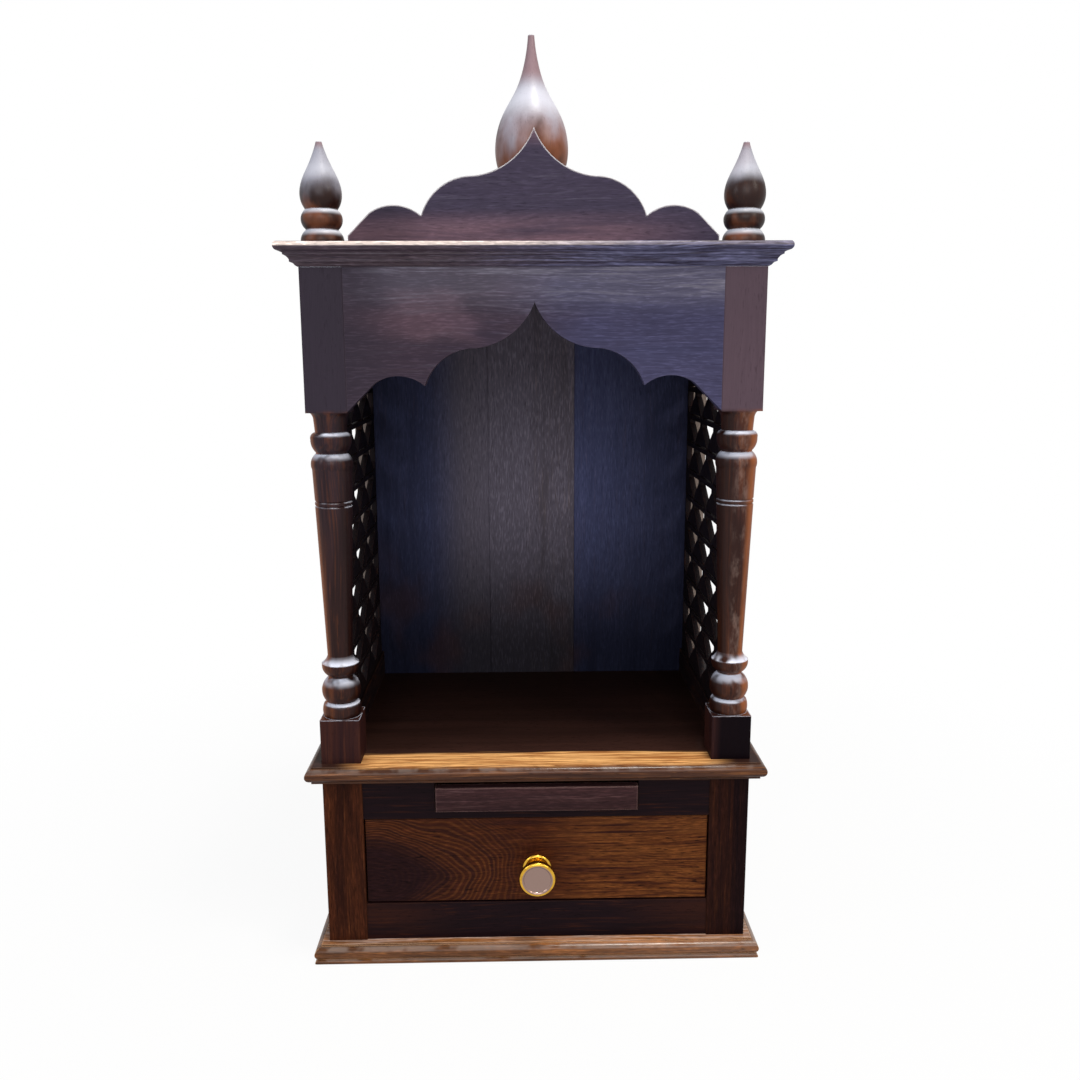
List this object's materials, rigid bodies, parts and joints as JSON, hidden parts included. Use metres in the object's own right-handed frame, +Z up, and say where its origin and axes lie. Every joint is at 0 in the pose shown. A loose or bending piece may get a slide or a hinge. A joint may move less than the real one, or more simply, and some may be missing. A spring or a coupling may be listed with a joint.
{
  "type": "pooja mandir",
  "caption": "Small wooden home temple with an open front, turned columns, cusped arch, pierced side panels, moulded cornice, crest, finials, a drawer and a pull-out tray.",
  "frame": {"origin": "centre of the base board's underside, on the floor or table it stands on", "axes": "+Z up, -Y towards the open front, +X to the right seen from the front"},
  "size_m": [0.38, 0.2585, 0.758],
  "materials": {
    "post_wood": "satin dark walnut stain",
    "fascia_wood": "satin dark walnut stain",
    "drawer_front_wood": "satin dark walnut stain",
    "tray_wood": "satin dark walnut stain",
    "rail_wood": "satin dark walnut stain",
    "moulding_wood": "satin dark walnut stain",
    "back_wood": "satin dark walnut stain",
    "panel_wood": "satin dark walnut stain",
    "inner_wood": "satin dark walnut stain",
    "finial_wood": "satin dark walnut stain",
    "brass": "polished"
  },
  "bodies": {
    "temple": {"box_post_front_left": "post_wood", "box_post_front_right": "post_wood", "box_post_back_left": "post_wood", "box_post_back_right": "post_wood", "column_front_left": "post_wood", "column_front_right": "post_wood", "arch_fascia": "fascia_wood", "crest_board": "fascia_wood", "drawer_rail_top": "rail_wood", "drawer_rail_bottom": "rail_wood", "side_rail_bottom_left": "rail_wood", "side_rail_bottom_right": "rail_wood", "side_rail_top_left": "rail_wood", "side_rail_top_right": "rail_wood", "base_board": "moulding_wood", "shelf_board": "moulding_wood", "cornice_board": "moulding_wood", "back_board_left": "back_wood", "back_board_centre": "back_wood", "back_board_right": "back_wood", "jali_panel_left": "panel_wood", "jali_panel_right": "panel_wood", "box_side_left": "panel_wood", "box_side_right": "panel_wood", "box_back": "panel_wood", "drawer_runner_left": "inner_wood", "drawer_runner_right": "inner_wood", "tray_guide_left": "inner_wood", "tray_guide_right": "inner_wood", "finial_front_left": "finial_wood", "finial_front_right": "finial_wood", "finial_centre": "finial_wood"},
    "drawer": {"drawer_front": "drawer_front_wood", "drawer_side_left": "inner_wood", "drawer_side_right": "inner_wood", "drawer_back": "inner_wood", "drawer_bottom": "inner_wood", "knob_rose": "brass", "knob": "brass"},
    "tray": {"tray_front": "tray_wood", "tray_board": "tray_wood"}
  },
  "joints": [
    {"name": "drawer_slide", "type": "slide", "parent": "temple", "child": "drawer", "axis": [0, -1, 0], "range_m": [0, 0.14]},
    {"name": "tray_slide", "type": "slide", "parent": "temple", "child": "tray", "axis": [0, -1, 0], "range_m": [0, 0.12]}
  ]
}
